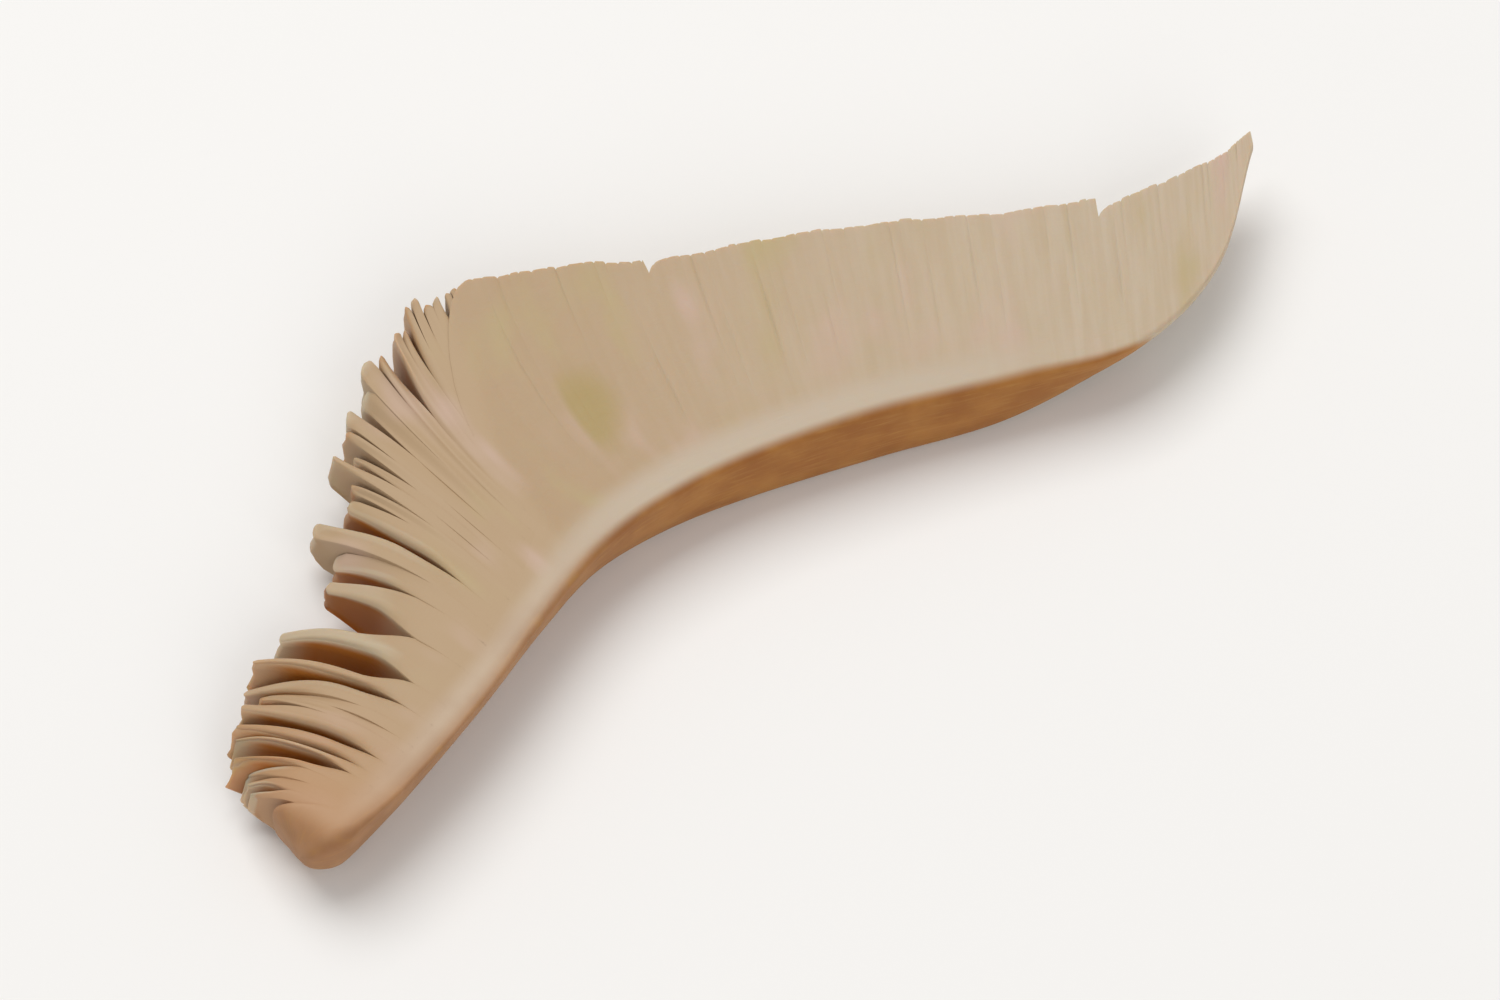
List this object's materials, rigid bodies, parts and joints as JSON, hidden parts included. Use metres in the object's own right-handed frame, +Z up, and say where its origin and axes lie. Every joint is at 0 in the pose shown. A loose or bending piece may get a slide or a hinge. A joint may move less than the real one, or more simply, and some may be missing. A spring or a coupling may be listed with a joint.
{
  "type": "oyster mushroom slice",
  "caption": "Slice cut across the cap of an oyster mushroom: an S-curved strip of flesh with its skin and a fan of thin gills, lying on its cut face.",
  "frame": {"origin": "on the table, under the middle of the slice's bounding box", "axes": "+X along the slice towards its thin cut end, +Y towards the free edge of the gills, +Z up, away from the cut face that the slice lies on"},
  "size_m": [0.0502, 0.0404, 0.005],
  "materials": {
    "mushroom_flesh": "moist, finely fibrous flesh and thin pale gills, with a tan skin along one side"
  },
  "bodies": {
    "root": {"oyster_mushroom_slice": "mushroom_flesh"}
  },
  "joints": []
}
